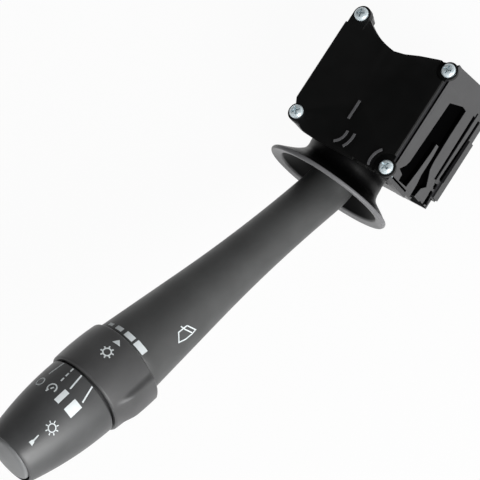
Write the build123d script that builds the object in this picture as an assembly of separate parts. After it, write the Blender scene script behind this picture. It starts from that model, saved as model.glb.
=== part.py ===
from build123d import *
from math import atan, cos, radians, sin, sqrt, tan
import os

# Combination stalk switch for a steering column, in millimetres.
# The origin is where the lever's up and down axis meets the rear seating face.
# +X runs towards the stalk, +Z out of the front cover, +Y to the slotted side.

# Housing
HOUSING_DEPTH = 45.0
X_FAR = -41.5
X_NEAR = 6.2
Y_LEFT = -20.7
Y_RIGHT = 27.2
WALL = 2.0
COVER_THICK = 2.5
REAR_HEIGHT = 8.6
REAR_INSET = 0.3
FRONT_WALL_X = -0.9
UPPER_STEP = 2.6
LOWER_STEP = 3.2
CORNER_CUT = (7.4, 8.0)
NOTCH_RADIUS = 32.0
NOTCH_DEPTH = 7.0
LUG_RADIUS = 3.5
GROOVE_LENGTH = 31.0
GROOVE_WIDTH = 11.4
GROOVE_DEPTH = 4.5
GROOVE_DROP = 6.6
FINGER_LENGTH = 19.5
FINGER_ROOT = 4.8
STRIP_LENGTH = 25.0
RIDGE_WIDTH = 0.9
RIDGE_RISE = 0.6
LUG_DEPTH = 4.0
SHOULDER = (5.3, 18.0)

# Screws
SCREW_HEAD = 5.6
SCREW_SHANK = 2.9
SCREW_RISE = 1.9
CROSS_LENGTH = 3.2
CROSS_WIDTH = 0.8

# Pivots of the lever
PIVOT_HEIGHT = HOUSING_DEPTH / 2 + 0.5
BALL_RADIUS = PIVOT_HEIGHT * 16 / 23
JOURNAL = 3.0
PIN_RADIUS = 2.5
RUNNING_GAP = 0.05
FIT_GAP = 0.02
REST_TURN = -3.8
ROOT_RAISE = 3.0
STALK_RAISE = 25.0

# Yoke and its detent
YOKE_HALF = BALL_RADIUS * 9 / 16
YOKE_TALL = BALL_RADIUS * 21 / 32
YOKE_WALL = 2.4
DETENT_REACH = 21.85
DETENT_HEIGHT = YOKE_TALL - 4.5
DETENT_STEP = 8.0
DETENT_SPREAD = 50.0
DETENT_THICK = 3.45
VALLEY_RADIUS = 1.6
PLUNGER_RADIUS = 2.55

# Bell and lever
BALL_WALL = 1.6
FLANGE_RADIUS = 25.4
ELBOW_REACH = BALL_RADIUS + 0.7
NECK_RADIUS = 8.8
SPIGOT_RADIUS = 6.4
LEVER_RADIUS = 14.4
LEVER_LENGTH = 104.0
LEVER_WALL = 1.9
ROOT_STRAIGHT = 12.6
TAPER_SHARE = 1.43
WIRE_RADIUS = 1.8

# Ring, knob and button
RING_RADIUS = 16.3
RING_LENGTH = 19.3
GRIP_RISE = 1.7
GRIP_MIDDLE = -93.0
GRIP_SPREAD = 50.0
KNOB_RADIUS = 15.4
KNOB_LENGTH = 34.2
TIP_RADIUS = 10.9
SHELL = 2.0
BUTTON_RADIUS = 9.6
BUTTON_TRAVEL = 2.0
BUTTON_DOME = 0.85
SPINDLE_RADIUS = 11.0
TAIL_RADIUS = 9.0
LEAF_LENGTH = 6.0

# Connector and circuit board
SOCKET_X = -22.0
SOCKET_Z = (3.6, 13.0)
SOCKET_REACH = 6.8
SOCKET_WALL = 1.4
PIN_COUNT = 6
PIN_PITCH = 3.4
PIN_SIZE = 0.7
BOARD_BASE = 6.0
BOARD_THICK = 1.6
TRACK_RADII = (9.0, 11.6, 14.2)
TRACK_WIDTH = 1.8

os.makedirs("parts", exist_ok=True)

TOP = HOUSING_DEPTH + 15
COVER_BASE = HOUSING_DEPTH - COVER_THICK
NOTCH_Y = (Y_LEFT + 8.2 + Y_RIGHT) / 2
NOTCH_X = X_FAR + NOTCH_DEPTH - NOTCH_RADIUS
SCREW_A = (X_FAR, Y_LEFT + 4.1)
SCREW_B = (X_NEAR - 4.8, Y_LEFT + 3.5)
SCREW_C = (X_NEAR - 2.4, Y_RIGHT - 1.9)
SCREW_D = (X_FAR + 4.2, Y_RIGHT - 1.8)
SCREW_POINTS = [SCREW_A, SCREW_B, SCREW_C, SCREW_D]


def block(x0, x1, y0, y1, z0, z1):
    """Box between two corners."""
    centre = ((x0 + x1) / 2, (y0 + y1) / 2, (z0 + z1) / 2)
    return Pos(*centre) * Box(x1 - x0, y1 - y0, z1 - z0)


def post(x, y, z0, z1, radius):
    """Upright cylinder between two heights."""
    return Pos(x, y, (z0 + z1) / 2) * Cylinder(radius, z1 - z0)


def rod_x(x0, x1, y, z, radius):
    """Cylinder along X between two stations."""
    return Pos((x0 + x1) / 2, y, z) * Rot(0, 90, 0) * Cylinder(radius, x1 - x0)


def rod_y(x, y0, y1, z, radius):
    """Cylinder along Y between two stations."""
    return Pos(x, (y0 + y1) / 2, z) * Rot(90, 0, 0) * Cylinder(radius, y1 - y0)


def lathe(outline):
    """Solid of revolution about Z from a closed (radius, height) outline."""
    return revolve(Plane.XZ * make_face(outline), axis=Axis.Z)


def turned(points):
    """Solid of revolution about Z from closed (radius, height) points."""
    return lathe(Polyline(*points, close=True))


def sector(inner, outer, h0, h1, middle, spread):
    """Arc-shaped piece about Z, centred on an angle, with the given spread."""
    ring = post(0, 0, h0, h1, outer) - post(0, 0, h0 - 1, h1 + 1, inner)
    reach = outer * 1.6
    corners = [(0, 0)]
    for share, stretch in ((-0.5, 1.0), (0.0, 1.3), (0.5, 1.0)):
        angle = radians(middle + share * spread)
        corners.append((reach * stretch * cos(angle), reach * stretch * sin(angle)))
    wedge = extrude(make_face(Polyline(*corners, close=True)), amount=h1 - h0 + 2)
    return ring & (Pos(0, 0, h0 - 1) * wedge)


def plate(points, z0, z1):
    """Flat plate from an outline of XY points."""
    face = make_face(Polyline(*points, close=True))
    return Pos(0, 0, z0) * extrude(face, amount=z1 - z0)


def spring(coil_radius, wire, length, turns):
    """Helical spring of square wire that stands on Z = 0."""
    seat = wire * 0.625
    height = length - 2 * seat
    path = Helix(pitch=height / turns, height=height, radius=coil_radius)
    section = Plane(origin=path @ 0, z_dir=path % 0) * Rectangle(wire, wire)
    return Pos(0, 0, seat) * sweep(section, path=path)


def on_ball(radius, angle):
    """Point of a ball's outline at an angle from the lever's root axis."""
    return (radius * sin(radians(angle)), radius * cos(radians(angle)))


def save(name, shape):
    """Write one named piece with all its solids."""
    export_step(Compound(children=list(shape.solids())), f"parts/{name}.step")


def one(name, shape):
    """Write a piece that is a single solid."""
    export_step(shape.solids().sort_by(SortBy.VOLUME)[-1], f"parts/{name}.step")


def outline(inset):
    """Housing outline seen from the front, drawn in by the inset."""
    far = X_FAR + 0.2 + inset
    edge = X_FAR + SHOULDER[0] + inset
    low = Y_LEFT + inset
    points = [(edge, low), (X_NEAR - inset, low), (X_NEAR - inset, Y_RIGHT - inset)]
    points += [(far, Y_RIGHT - inset), (far, Y_LEFT + SHOULDER[1]), (edge, Y_LEFT + SHOULDER[1])]
    return points


def notch(grow):
    """Room for the steering column: round, then nearly straight towards the slotted side."""
    middle = NOTCH_X + NOTCH_RADIUS + grow
    bulge = [(middle + 1, NOTCH_Y - 4.3), (middle - 0.3, NOTCH_Y - 4.3)]
    bulge += [(middle - 1.0, NOTCH_Y), (middle - 2.9, NOTCH_Y + 5.6)]
    bulge += [(middle - 4.7, NOTCH_Y + 12.7), (middle - 5.8, NOTCH_Y + 18), (middle + 1, NOTCH_Y + 18)]
    return post(NOTCH_X, NOTCH_Y, -1, TOP, NOTCH_RADIUS + grow) - plate(bulge, -2, TOP + 1)


# Housing case: a frame open to the front and to the rear
ax, ay = SCREW_A
ear_end = ax + 6.5
case = plate(outline(0), REAR_HEIGHT, COVER_BASE) - notch(0)
lug_base = COVER_BASE - LUG_DEPTH
lug_half = LUG_RADIUS - 0.5
case += post(ax, ay, lug_base, COVER_BASE, lug_half)
case += block(ax, ear_end, ay - lug_half, ay + lug_half, lug_base, COVER_BASE)
wall_front = FRONT_WALL_X + WALL
chamber = block(X_FAR + WALL, FRONT_WALL_X, Y_LEFT + WALL, Y_RIGHT - WALL, 0, TOP)
chamber -= notch(WALL)
chamber -= block(X_FAR - 1, ear_end + 0.9, Y_LEFT, Y_LEFT + SHOULDER[1] + 1.5, -1, TOP)
chamber -= post(*SCREW_D, -1, TOP, LUG_RADIUS)
chamber -= block(X_FAR, SCREW_D[0], Y_RIGHT - 5, Y_RIGHT, -1, TOP)
pocket = block(wall_front, X_NEAR + 1, Y_LEFT + WALL, Y_RIGHT - WALL, 0, TOP)
pocket -= post(*SCREW_C, PIVOT_HEIGHT - 3, TOP, LUG_RADIUS)
case -= chamber
case -= pocket
case += block(X_NEAR - 0.5, X_NEAR + 0.8, Y_RIGHT - 3.4, Y_RIGHT, PIVOT_HEIGHT, COVER_BASE - 1.2)
cut_x, cut_y = CORNER_CUT
corner = [(X_NEAR - cut_x, Y_LEFT), (X_NEAR, Y_LEFT + cut_y), (X_NEAR + 5, Y_LEFT + cut_y)]
corner += [(X_NEAR + 5, Y_LEFT - 5), (X_NEAR - cut_x, Y_LEFT - 5)]
case -= plate(corner, 0, TOP)
case += post(*SCREW_B, PIVOT_HEIGHT + BALL_RADIUS * 0.69, COVER_BASE, LUG_RADIUS - 0.1)

# Rail groove with its tapered latch finger, drawn as XZ points of the slotted side
groove_floor = Y_RIGHT - GROOVE_DEPTH
groove_top = PIVOT_HEIGHT + 10.5
groove_base = groove_top - GROOVE_WIDTH
groove_end = X_NEAR - 5.4
groove_start = groove_end - GROOVE_LENGTH
backing = (groove_floor - 1.5, Y_RIGHT - 1)
backing_base = groove_base - GROOVE_DROP - 2.5
case += block(groove_start - 2, X_NEAR - 1.7, *backing, backing_base, groove_top + 4.2)
case -= notch(0)


def side_prism(points, depth):
    """Solid that runs from the slotted side inwards, from XZ points of that side."""
    face = make_face(Polyline(*points, close=True))
    inner = Plane(origin=(0, Y_RIGHT - depth, 0), x_dir=(1, 0, 0), z_dir=(0, -1, 0))
    return extrude(inner * face, amount=depth + 1, dir=(0, 1, 0))


catch_end = groove_end + 2.4
finger_root = X_NEAR - 2.2
finger_top = groove_base + 1.9
finger_tip = finger_root - FINGER_LENGTH
slit_foot = finger_top - FINGER_ROOT
catch_top = groove_top + 2.6
catch_base = finger_top + 2.0
groove = [(groove_start, groove_top), (groove_end, groove_top), (groove_end, catch_top)]
groove += [(catch_end, catch_top), (catch_end, catch_base), (groove_end, catch_base)]
groove += [(groove_end, finger_top), (finger_tip, finger_top), (finger_tip + 5.7, finger_top - 1.8)]
groove += [(finger_root, slit_foot), (groove_end - 1.1, slit_foot - 1.9)]
groove += [(groove_end - 3.2, groove_base - GROOVE_DROP), (groove_end - 5.6, groove_base - 4.0)]
groove += [(groove_end - 16.1, groove_base - 2.2), (groove_start, groove_base - 0.3)]
case -= side_prism(groove, GROOVE_DEPTH)
seam = (groove_start - 5.6, groove_end - 6.2)
case -= block(*seam, Y_RIGHT - WALL - 0.5, Y_RIGHT + 1, REAR_HEIGHT - 1, REAR_HEIGHT + 1.8)
case -= block(X_NEAR - 1.3, X_NEAR - 0.7, Y_RIGHT - 1.2, Y_RIGHT + 1, PIVOT_HEIGHT + 3, COVER_BASE - 2.5)

# Openings for the ball neck, the front journal and the stepped front edge
ball_hole = BALL_RADIUS + 0.4
case -= rod_x(FRONT_WALL_X - 1, wall_front + 0.5, 0, PIVOT_HEIGHT, ball_hole)
case -= post(0, 0, PIVOT_HEIGHT, TOP, JOURNAL + 2.8)
for step, height in ((UPPER_STEP, PIVOT_HEIGHT + 0.3), (LOWER_STEP, PIVOT_HEIGHT / 2)):
    case -= block(X_NEAR - step, X_NEAR + 2, Y_LEFT - 1, Y_RIGHT + 1, 0, height)
socket_half = PIN_COUNT * PIN_PITCH / 2 + 1.8
socket_x = (SOCKET_X - socket_half, SOCKET_X + socket_half)
case -= block(*socket_x, Y_LEFT - 1, Y_LEFT + WALL + 0.1, 0, SOCKET_Z[1])
for x, y in SCREW_POINTS:
    case -= post(x, y, COVER_BASE - 7.5, TOP, SCREW_SHANK / 2 + RUNNING_GAP)
one("housing_case", case)

# Rear cover: a tray with the seating face, the side strip and the lower bearing
rear = plate(outline(REAR_INSET), 0, REAR_HEIGHT) - notch(REAR_INSET)
rear -= block(X_NEAR - LOWER_STEP, X_NEAR + 14, Y_LEFT - 1, Y_RIGHT + 1, -1, TOP)
rear -= Pos(-REAR_INSET, REAR_INSET, -1) * plate(corner, 0, TOP)
tray = block(X_FAR + WALL + 0.2, X_NEAR - 6.2, Y_LEFT + WALL + 0.1, Y_RIGHT - WALL - 0.2, 3, TOP)
tray -= notch(WALL + 0.2)
tray -= block(X_FAR - 1, ear_end + 1.1, Y_LEFT, Y_LEFT + SHOULDER[1] + 1.7, 0, TOP)
rear -= tray
strip_end = X_NEAR - 7.7
strip_start = strip_end - STRIP_LENGTH
line_middle = ((strip_start + strip_end) / 2 - 4.5, Y_RIGHT, REAR_HEIGHT - 2.9)
rear -= Pos(*line_middle) * Rot(0, -3.5, 0) * Box(STRIP_LENGTH - 4, 2 * WALL + 1, 1.5)
rear -= block(strip_end - 4.2, strip_end - 2.8, Y_RIGHT - 1.6, Y_RIGHT + 1, REAR_HEIGHT - 2, REAR_HEIGHT + 1)
rear -= block(strip_end - 1.4, X_NEAR, Y_RIGHT - 1.5, Y_RIGHT + 1, REAR_HEIGHT - 2.6, REAR_HEIGHT - 0.9)
rear += block(strip_start, strip_end, Y_RIGHT - 2, Y_RIGHT + 1.2, 0, REAR_HEIGHT / 2)
bearing_top = PIVOT_HEIGHT - BALL_RADIUS - 0.6
rear -= rod_x(-6, X_NEAR + 4, 0, PIVOT_HEIGHT, ball_hole)
rear += post(0, 0, 0, bearing_top, JOURNAL + 3)
journal_floor = 1.1
rear -= post(0, 0, journal_floor, PIVOT_HEIGHT, JOURNAL + RUNNING_GAP)
rear -= block(*socket_x, Y_LEFT - 1, Y_LEFT + WALL + 0.2, SOCKET_Z[0], TOP)
board_x = (X_FAR + 10, X_NEAR - 13.2)
board_y = (Y_LEFT + 4.2, Y_RIGHT - 7.2)
rest_x = (board_x[0] + 3.5, board_x[1] - 2.6)
rest_y = (board_y[0] + 2.6, board_y[1] - 2.6)
corner_screws = [(rest_x[1], rest_y[0]), (rest_x[0], rest_y[1])]
board_rests = corner_screws + [(rest_x[0], board_y[0] + 8), (rest_x[1], rest_y[1])]
for x, y in board_rests:
    rear += post(x, y, 2.5, BOARD_BASE, 2.2)
for x, y in corner_screws:
    rear -= post(x, y, 2.0, BOARD_BASE + 1, 1.0)
one("rear_cover", rear)

# Front cover with its screw seats, boss and moulded ridges
edge_x = X_NEAR + 1.0
points = [(X_FAR + 4.7, Y_LEFT - 0.3), (X_NEAR - 10, Y_LEFT - 0.3), (X_NEAR - 7.4, Y_LEFT + 1.2)]
points += [(X_NEAR - 0.6, Y_LEFT + 7.7), (edge_x - 0.6, Y_LEFT + 9.7), (edge_x, Y_LEFT + 16.7)]
points += [(edge_x, Y_RIGHT - 5), (edge_x - 0.8, Y_RIGHT - 0.8), (X_FAR + 0.1, Y_RIGHT - 0.8)]
points += [(X_FAR + 0.1, Y_LEFT + 8.2), (X_FAR + 4.7, Y_LEFT + 8.2)]
cover = plate(points, COVER_BASE, HOUSING_DEPTH) - notch(0.1)
for x, y in SCREW_POINTS:
    cover += post(x, y, COVER_BASE, HOUSING_DEPTH, LUG_RADIUS)
cover += block(ax, ear_end, ay - LUG_RADIUS, ay + LUG_RADIUS, COVER_BASE, HOUSING_DEPTH)
rim = cover.faces().sort_by(Axis.Z)[-1].edges().filter_by(GeomType.LINE)
cover = chamfer(rim.filter_by(lambda e: e.length > 9), 0.35)
pocket_floor = HOUSING_DEPTH - 1.3
cover -= post(*SCREW_C, pocket_floor, TOP, SCREW_HEAD / 2 + 2.4)
cover -= post(*SCREW_D, pocket_floor, TOP, SCREW_HEAD / 2 + 1.6)
bearing_base = PIVOT_HEIGHT + BALL_RADIUS + 1.1
boss = post(0, 0, bearing_base, COVER_BASE + 0.5, JOURNAL + 2.5)
cover += boss - block(JOURNAL + 0.9, JOURNAL + 4, -JOURNAL - 3, JOURNAL + 3, bearing_base - 1, COVER_BASE)
journal_roof = HOUSING_DEPTH - 1.0
cover -= post(0, 0, bearing_base - 1, journal_roof, JOURNAL + RUNNING_GAP)
cover -= Pos(edge_x, 0, COVER_BASE) * Rot(0, 45, 0) * Box(2.5, BALL_RADIUS * 1.75, 2.5)
ridge = (HOUSING_DEPTH - 0.5, HOUSING_DEPTH + RIDGE_RISE)
half_ridge = RIDGE_WIDTH / 2
for radius, middle, spread in ((5.1, 65, 74), (8.2, 77, 44)):
    cover += sector(radius - half_ridge, radius + half_ridge, *ridge, middle, spread)
cover += block(-12.8, -5.1, 2.5 - half_ridge, 2.5 + half_ridge, *ridge)
rim_arc = sector(6.4 - half_ridge, 6.4 + half_ridge, *ridge, -102, 70)
cover += Pos(SCREW_C[0], SCREW_C[1], 0) * rim_arc
for start, width in ((15.0, 2.4), (8.8, 1.1), (5.6, 1.1)):
    y = Y_RIGHT - start
    cover -= block(edge_x - 0.9, edge_x + 1, y, y + width, COVER_BASE - 1, TOP)
for x, y in SCREW_POINTS:
    cover -= post(x, y, COVER_BASE - 1, TOP, SCREW_SHANK / 2 + 0.15)
one("front_cover", cover)

# Cover screws: pan heads with a cross recess, each turned differently
screws = []
for n, (x, y) in enumerate(SCREW_POINTS):
    seat = HOUSING_DEPTH if n < 2 else pocket_floor
    head = post(x, y, seat, seat + SCREW_RISE, SCREW_HEAD / 2)
    head = chamfer(head.faces().sort_by(Axis.Z)[-1].edges(), 0.7)
    screw = head + post(x, y, COVER_BASE - 6.5, seat + 0.2, SCREW_SHANK / 2)
    for turn in (20, 110):
        cross = Box(CROSS_LENGTH, CROSS_WIDTH, 1.4)
        screw -= Pos(x, y, seat + SCREW_RISE - 0.3) * Rot(0, 0, turn + n * 25) * cross
    screws.append(screw)
save("cover_screws", Compound(children=screws))

# Circuit board with its tracks and screws
board_top = BOARD_BASE + BOARD_THICK
board = block(*board_x, *board_y, BOARD_BASE, board_top) - notch(WALL + 0.6)
for x, y in corner_screws:
    board -= post(x, y, 0, TOP, 1.05)
half_pin = PIN_SIZE / 2
pin_y = Y_LEFT + 5.7
pin_x = [SOCKET_X + (n - (PIN_COUNT - 1) / 2) * PIN_PITCH for n in range(PIN_COUNT)]
pin_hole = half_pin + 0.05
for x in pin_x:
    board -= block(x - pin_hole, x + pin_hole, pin_y - pin_hole, pin_y + pin_hole, 0, TOP)
one("circuit_board", board)
tracks = [sector(r, r + TRACK_WIDTH, board_top, board_top + 0.15, 180, 56) for r in TRACK_RADII]
save("contact_tracks", Compound(children=tracks))
board_screws = []
for x, y in corner_screws:
    screw = post(x, y, board_top, board_top + 1.3, 1.9) + post(x, y, 2.6, board_top + 0.1, 0.95)
    board_screws.append(screw - Pos(x, y, board_top + 1.2) * Box(2.4, 0.6, 0.9))
save("board_screws", Compound(children=board_screws))

# Connector socket and its terminals
socket_front = Y_LEFT - SOCKET_REACH
low, high = SOCKET_Z[0], SOCKET_Z[1] - FIT_GAP
x0, x1 = socket_x
shroud = block(x0 + FIT_GAP, x1 - FIT_GAP, socket_front, Y_LEFT + 3.5, low, high)
mouth = (socket_front - 1, Y_LEFT + 0.2, low + SOCKET_WALL, high - SOCKET_WALL)
shroud -= block(x0 + SOCKET_WALL, x1 - SOCKET_WALL, *mouth)
shroud += block(SOCKET_X - 2, SOCKET_X + 2, socket_front + 1.2, Y_LEFT - 1.2, high - 0.5, high + 0.9)
pin_z = board_top + 0.4
slot = half_pin + 0.03
for x in pin_x:
    shroud -= block(x - slot, x + slot, Y_LEFT - 1, Y_LEFT + 5, pin_z - 0.03, pin_z + PIN_SIZE + 0.03)
one("connector_shroud", shroud)
pins = []
for x in pin_x:
    sides = (x - half_pin, x + half_pin)
    bar = block(*sides, socket_front + 3, pin_y + half_pin, pin_z, pin_z + PIN_SIZE)
    leg = block(*sides, pin_y - half_pin, pin_y + half_pin, BOARD_BASE - 1.2, pin_z + 0.1)
    pins.append(bar + leg)
save("terminal_pins", Compound(children=pins))

# Detent plate: an arc behind the yoke with a valley for each lever position
plate_inner = DETENT_REACH + 0.15
plate_base = PIVOT_HEIGHT + DETENT_HEIGHT - 3.5
detent = sector(plate_inner, plate_inner + DETENT_THICK, plate_base, COVER_BASE, 180, DETENT_SPREAD)
valley_reach = DETENT_REACH + 0.7
for state in (-1, 0, 1, 2):
    angle = radians(180 + REST_TURN + state * DETENT_STEP)
    detent -= post(valley_reach * cos(angle), valley_reach * sin(angle), 0, TOP, VALLEY_RADIUS)
one("detent_plate", detent)

# Frames of the moving parts at rest
pivot = Vector(0, 0, PIVOT_HEIGHT)
yoke_place = Pos(0, 0, PIVOT_HEIGHT) * Rot(0, 0, REST_TURN)
root_place = yoke_place * Rot(0, -ROOT_RAISE, 0)


def heading(raise_angle):
    """Direction of a line at the lever's rest turn and the given raise."""
    flat = cos(radians(raise_angle))
    turn = radians(REST_TURN)
    return Vector(flat * cos(turn), flat * sin(turn), sin(radians(raise_angle)))


elbow = pivot + heading(ROOT_RAISE) * ELBOW_REACH
stalk_up = heading(STALK_RAISE + 90)
stalk_place = Plane(origin=elbow, x_dir=stalk_up, z_dir=heading(STALK_RAISE)).location

# Yoke: carries the lever pin, the detent plunger and the moving contacts
window = YOKE_HALF - YOKE_WALL
window_tall = YOKE_TALL - 2.5
yoke = block(-13, 3.5, -YOKE_HALF, YOKE_HALF, -YOKE_TALL, YOKE_TALL)
yoke -= block(-9.5, 10, -window, window, -window_tall, window_tall)
yoke -= block(-14, -9, -4, 4, 2 - window_tall, window_tall - 5.5)
yoke &= Sphere(BALL_RADIUS - BALL_WALL - 0.6) + block(-20, -6.4, -20, 20, -20, 20)
yoke += rod_x(-19, -9.5, 0, DETENT_HEIGHT, PLUNGER_RADIUS + 1.65)
journal_root = YOKE_TALL - 2
yoke += post(0, 0, journal_root, journal_roof - 0.1 - PIVOT_HEIGHT, JOURNAL)
yoke += post(0, 0, journal_floor + 0.1 - PIVOT_HEIGHT, -journal_root, JOURNAL)
yoke -= rod_y(0, -20, 20, 0, PIN_RADIUS + FIT_GAP)
yoke -= rod_x(-20, -10.3, 0, DETENT_HEIGHT, PLUNGER_RADIUS + RUNNING_GAP)
one("yoke", yoke_place * yoke)
pin = rod_y(0, -YOKE_HALF - 0.3, YOKE_HALF + 0.3, 0, PIN_RADIUS)
pin = chamfer(pin.edges().filter_by(GeomType.CIRCLE), 0.3)
one("pivot_pin", yoke_place * pin)
nose_x = VALLEY_RADIUS - 0.05 - DETENT_REACH
plunger = rod_x(nose_x, -15, 0, DETENT_HEIGHT, PLUNGER_RADIUS)
plunger += Pos(nose_x, 0, DETENT_HEIGHT) * Sphere(VALLEY_RADIUS - 0.05)
one("detent_plunger", yoke_place * plunger)
coil = Pos(-15, 0, DETENT_HEIGHT) * Rot(0, 90, 0) * spring(1.8, 0.48, 4.6, 4)
one("detent_spring", yoke_place * coil)
carrier_z = board_top + 1.1 - PIVOT_HEIGHT
contact_carrier = block(-13, -7, -5, 5, carrier_z, -YOKE_TALL)
contact_carrier += block(-16.4, -7, -5, 5, carrier_z, carrier_z + 1.6)
one("contact_carrier", yoke_place * contact_carrier)
blades = []
blade_foot = board_top + 0.2 - PIVOT_HEIGHT
for radius in TRACK_RADII:
    x = -radius - TRACK_WIDTH / 2
    blade = block(x - 0.6, x + 0.6, -3.4, 3.4, carrier_z - 0.25, carrier_z)
    for y in (-3.4, 2.6):
        blade += block(x - 0.6, x + 0.6, y, y + 0.8, blade_foot, carrier_z - 0.1)
    blades.append(blade)
save("contact_blades", yoke_place * Compound(children=blades))

# Lever core on the pin, with the spigot that carries the lever
core_half = window - 1.4
core_tall = window_tall * 0.6875
core = block(-7.5, 5.5, -core_half, core_half, -core_tall, core_tall)
core += rod_x(5, ELBOW_REACH - 1.2, 0, 0, SPIGOT_RADIUS)
core += rod_x(5, 7, 0, 0, NECK_RADIUS - 0.8)
core -= rod_y(0, -20, 20, 0, PIN_RADIUS + RUNNING_GAP)
core -= rod_x(3.2, 20, 0, 0, SPIGOT_RADIUS / 2)
one("lever_core", root_place * core)
pull_coil = Rot(90, 0, 0) * Pos(0, 0, window - 1.3) * spring(3.6, 0.35, 1.2, 1.5)
one("pull_spring", yoke_place * pull_coil)

# Bell shroud: ball neck, cone and flange, turned about the root axis
flange = FLANGE_RADIUS
inner = BALL_RADIUS - BALL_WALL
hub = NECK_RADIUS + 0.2
room = BALL_RADIUS - hub
spread = flange - BALL_RADIUS
rise = BALL_RADIUS / 16
neck_middle = (BALL_RADIUS, 7.8 * rise)
throat = (BALL_RADIUS + spread * 0.11, 10.3 * rise)
cone_middle = (BALL_RADIUS + spread * 0.39, 12.7 * rise)
cone_top = (flange - 2.6, 15.2 * rise)
rim_back = (flange - 0.6, 15.6 * rise)
rim_tip = (flange, 16.3 * rise)
rim_front = (flange - 0.6, 17.0 * rise)
lip_edge = (flange - 4.2, 16.7 * rise)
dish_edge = (flange - 5.0, 15.9 * rise)
dish_middle = (BALL_RADIUS + spread * 0.12, 13.0 * rise)
dish_base = (hub + room * 0.74, 10.6 * rise)
seat_foot = (hub + room * 0.57, 9.2 * rise)
seat_corner = (hub + room * 0.26, 9.0 * rise)
seat_top = (hub + room * 0.2, 13.0 * rise)
hub_top = (hub + FIT_GAP, 13.0 * rise)
hub_base = (hub + FIT_GAP, 7.6 * rise)
ball_arc = [on_ball(BALL_RADIUS, angle) for angle in (100, 86, 72)]
inner_arc = [on_ball(inner, angle) for angle in (58, 79, 100)]
bell_outline = ThreePointArc(*ball_arc)
bell_outline += ThreePointArc(ball_arc[2], neck_middle, throat)
bell_outline += ThreePointArc(throat, cone_middle, cone_top)
bell_outline += Line(cone_top, rim_back)
bell_outline += ThreePointArc(rim_back, rim_tip, rim_front)
bell_outline += Polyline(rim_front, (flange - 2.8, 16.6 * rise), lip_edge, dish_edge)
bell_outline += ThreePointArc(dish_edge, dish_middle, dish_base)
bell_outline += Polyline(dish_base, seat_foot, seat_corner, seat_top, hub_top, hub_base, inner_arc[0])
bell_outline += ThreePointArc(*inner_arc)
bell_outline += Line(inner_arc[2], ball_arc[0])
bell = Rot(0, 90, 0) * lathe(bell_outline)
slot = JOURNAL + 0.6
for z0, z1 in ((core_tall, 2 * BALL_RADIUS), (-2 * BALL_RADIUS, -core_tall)):
    bell -= block(-BALL_RADIUS, JOURNAL + 3.6, -slot, slot, z0, z1)
one("shroud_bell", root_place * bell)

# Taper of the lever: an arc out of the straight root, then a plain cone
taper_reach = LEVER_LENGTH - ROOT_STRAIGHT
taper_rise = LEVER_RADIUS - NECK_RADIUS
taper_angle = atan(TAPER_SHARE * taper_rise / taper_reach)
arc_rise = taper_reach * tan(taper_angle) - taper_rise
arc_radius = arc_rise / (tan(taper_angle) * sin(taper_angle) - 1 + cos(taper_angle))


def lever_radius(station):
    """Outer radius of the lever at a distance from the elbow."""
    run = max(station - ROOT_STRAIGHT, 0)
    if run < arc_radius * sin(taper_angle):
        return NECK_RADIUS + arc_radius - sqrt(arc_radius ** 2 - run ** 2)
    return LEVER_RADIUS - (LEVER_LENGTH - station) * tan(taper_angle)


# Lever body: root tube, round elbow and the long tapered tube
arc_end = ROOT_STRAIGHT + arc_radius * sin(taper_angle)
arc_middle = (ROOT_STRAIGHT + arc_end) / 2
bend = [(lever_radius(s), s) for s in (ROOT_STRAIGHT, arc_middle, arc_end)]
skin = Line((NECK_RADIUS, 0), bend[0]) + ThreePointArc(*bend)
skin += Polyline(bend[2], (LEVER_RADIUS, LEVER_LENGTH), (0, LEVER_LENGTH), (0, 0), (NECK_RADIUS, 0))
lever = stalk_place * lathe(skin)
lever += Pos(*elbow) * Sphere(NECK_RADIUS)
lever += root_place * rod_x(7.6, ELBOW_REACH, 0, 0, hub)
bore = SPIGOT_RADIUS + FIT_GAP
plug = LEVER_RADIUS - 2.0
plug_start = LEVER_LENGTH - 15
hollow = [(0, 0), (bore, 0)]
for s in (ROOT_STRAIGHT, arc_middle, arc_end):
    hollow.append((max(bore, lever_radius(s) - LEVER_WALL), s))
hollow += [(plug - 1.2, plug_start), (plug + FIT_GAP, plug_start), (plug + FIT_GAP, LEVER_LENGTH + 1)]
hollow += [(0, LEVER_LENGTH + 1)]
lever -= stalk_place * turned(hollow)
lever -= root_place * rod_x(0, ELBOW_REACH, 0, 0, bore)
lever -= Pos(*elbow) * Sphere(bore)
one("lever_body", lever)

# Stations along the stalk, measured from the elbow
ring_start = LEVER_LENGTH + 0.25
ring_end = ring_start + RING_LENGTH
knob_start = ring_end + 0.5
knob_end = knob_start + KNOB_LENGTH
spindle_end = knob_end - 7.2
wall_s = spindle_end - 2
board_s = spindle_end - 12
clip_s = knob_start + 17.0
ring_leaf_s = ring_start + 4
knob_leaf_s = knob_start + 5

# Wires through the lever
wires = root_place * rod_x(3.6, ELBOW_REACH, 0, 0, WIRE_RADIUS)
wires += Pos(*elbow) * Sphere(WIRE_RADIUS)
wires += stalk_place * post(0, 0, 0, board_s, WIRE_RADIUS)
one("wire_bundle", wires)

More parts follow.
